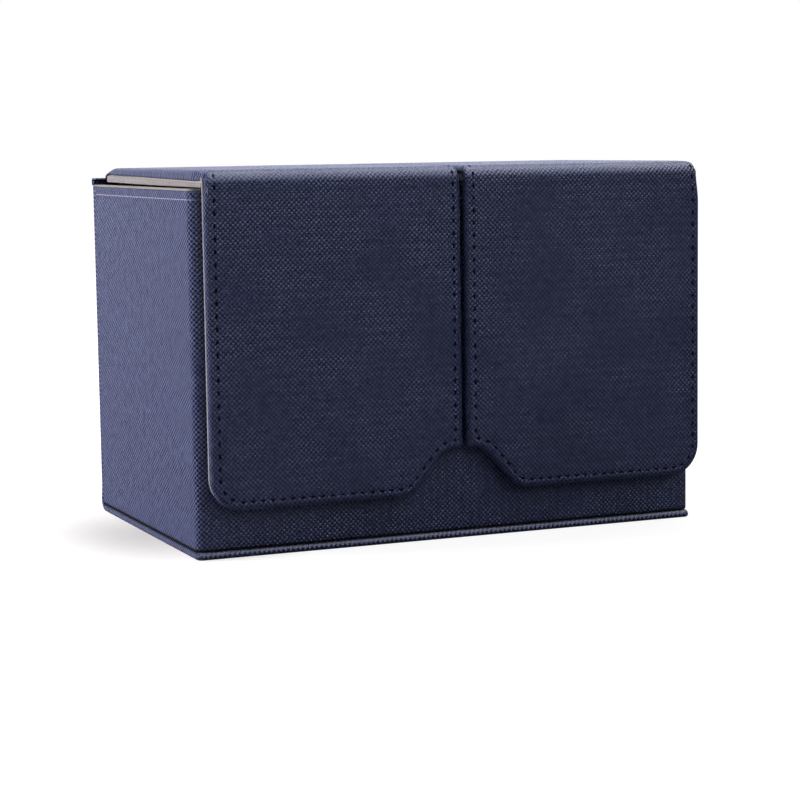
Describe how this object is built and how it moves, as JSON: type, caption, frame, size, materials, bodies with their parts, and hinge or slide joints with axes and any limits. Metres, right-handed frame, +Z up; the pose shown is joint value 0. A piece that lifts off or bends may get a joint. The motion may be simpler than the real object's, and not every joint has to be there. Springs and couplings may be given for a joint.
{
  "type": "playing card box with drawer",
  "caption": "Synthetic-leather playing card box: hinged lids with folding magnetic front flaps over lined card bays, and a drawer that slides out low down at one side.",
  "frame": {"origin": "bottom centre of the closed box, on the surface that it stands on", "axes": "+X to the right across the front, where the drawer comes out; -Y to the front, where the flaps hang; +Z up"},
  "size_m": [0.1536, 0.1, 0.105],
  "materials": {
    "leather_skin": "fine cross-hatched grain, satin",
    "fleece": "short grey fleece",
    "grey_board": "raw grey board",
    "magnet_metal": "nickel plate",
    "dark_thread": "waxed polyester thread",
    "pale_thread": "waxed polyester thread"
  },
  "bodies": {
    "case": {"outer_wrap": "leather_skin", "base_board": "grey_board", "back_board": "grey_board", "body_cover": "leather_skin", "bottom_board": "grey_board", "left_wall_board": "grey_board", "right_wall_board": "grey_board", "front_wall_board": "grey_board", "rear_wall_board": "grey_board", "shelf_board": "grey_board", "divider_board": "grey_board", "left_bay_lining": "fleece", "right_bay_lining": "fleece", "drawer_bay_lining": "fleece", "front_drawer_rail": "grey_board", "rear_drawer_rail": "grey_board", "front_wall_magnets": "magnet_metal"},
    "drawer": {"drawer_bottom_board": "grey_board", "drawer_front_side_board": "grey_board", "drawer_rear_side_board": "grey_board", "drawer_back_board": "grey_board", "drawer_face_board": "grey_board", "drawer_cover": "leather_skin", "drawer_lining": "fleece"},
    "left_lid": {"left_lid_board": "grey_board", "left_lid_cover": "leather_skin", "left_lid_inner_board": "grey_board", "left_lid_lining": "fleece", "left_hinge_strip": "leather_skin", "left_fold_strip": "leather_skin"},
    "left_flap": {"left_flap_board": "grey_board", "left_flap_cover": "leather_skin", "left_flap_lining": "fleece", "left_flap_magnets": "magnet_metal"},
    "right_lid": {"right_lid_board": "grey_board", "right_lid_cover": "leather_skin", "right_lid_inner_board": "grey_board", "right_lid_lining": "fleece", "right_hinge_strip": "leather_skin", "right_fold_strip": "leather_skin"},
    "right_flap": {"right_flap_board": "grey_board", "right_flap_cover": "leather_skin", "right_flap_lining": "fleece", "right_flap_magnets": "magnet_metal"}
  },
  "joints": [
    {"name": "left_lid_hinge", "type": "hinge", "parent": "case", "child": "left_lid", "pos_m": [-0.0363, 0.0482, 0.1016], "axis": [-1, 0, 0], "range_deg": [0, 180], "deforming": ["left_hinge_strip"]},
    {"name": "left_flap_fold", "type": "hinge", "parent": "left_lid", "child": "left_flap", "pos_m": [-0.0363, -0.04856, 0.10356], "axis": [-1, 0, 0], "range_deg": [0, 90], "deforming": ["left_fold_strip"]},
    {"name": "right_lid_hinge", "type": "hinge", "parent": "case", "child": "right_lid", "pos_m": [0.0396, 0.0482, 0.1016], "axis": [-1, 0, 0], "range_deg": [0, 180], "deforming": ["right_hinge_strip"]},
    {"name": "right_flap_fold", "type": "hinge", "parent": "right_lid", "child": "right_flap", "pos_m": [0.0396, -0.04856, 0.10356], "axis": [-1, 0, 0], "range_deg": [0, 90], "deforming": ["right_fold_strip"]},
    {"name": "drawer_slide", "type": "slide", "parent": "case", "child": "drawer", "axis": [1, 0, 0], "range_m": [0, 0.12]}
  ]
}
